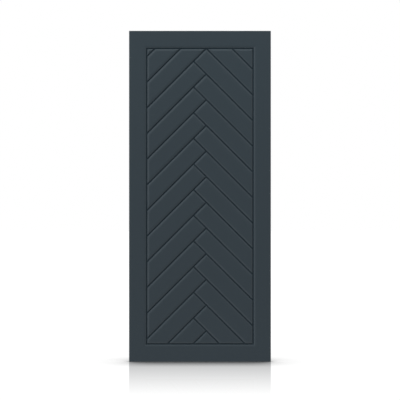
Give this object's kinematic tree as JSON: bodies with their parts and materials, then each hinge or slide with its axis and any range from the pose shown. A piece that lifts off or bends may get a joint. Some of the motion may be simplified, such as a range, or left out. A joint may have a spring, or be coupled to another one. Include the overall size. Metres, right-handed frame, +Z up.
{
  "type": "herringbone panel door leaf",
  "caption": "Painted hollow-core interior door leaf with a plain border and a herringbone board pattern routed into both faces, for hanging on hinges or a sliding track.",
  "frame": {"origin": "on the flat of the hinge edge, at the foot of the leaf and halfway through its thickness", "axes": "+X across the leaf from the hinge edge to the latch edge, -Y out of the front face, +Z up"},
  "size_m": [0.9144, 0.035, 2.1336],
  "materials": {
    "face_paint": "satin",
    "edge_paint": "satin",
    "inner_timber": "matte",
    "kraft_paper": "matte"
  },
  "bodies": {
    "root": {"front_skin": "face_paint", "back_skin": "face_paint", "left_stile": "edge_paint", "right_stile": "edge_paint", "top_rail": "edge_paint", "bottom_rail": "edge_paint", "lock_rail": "inner_timber", "upper_honeycomb": "kraft_paper", "lower_honeycomb": "kraft_paper"}
  },
  "joints": []
}
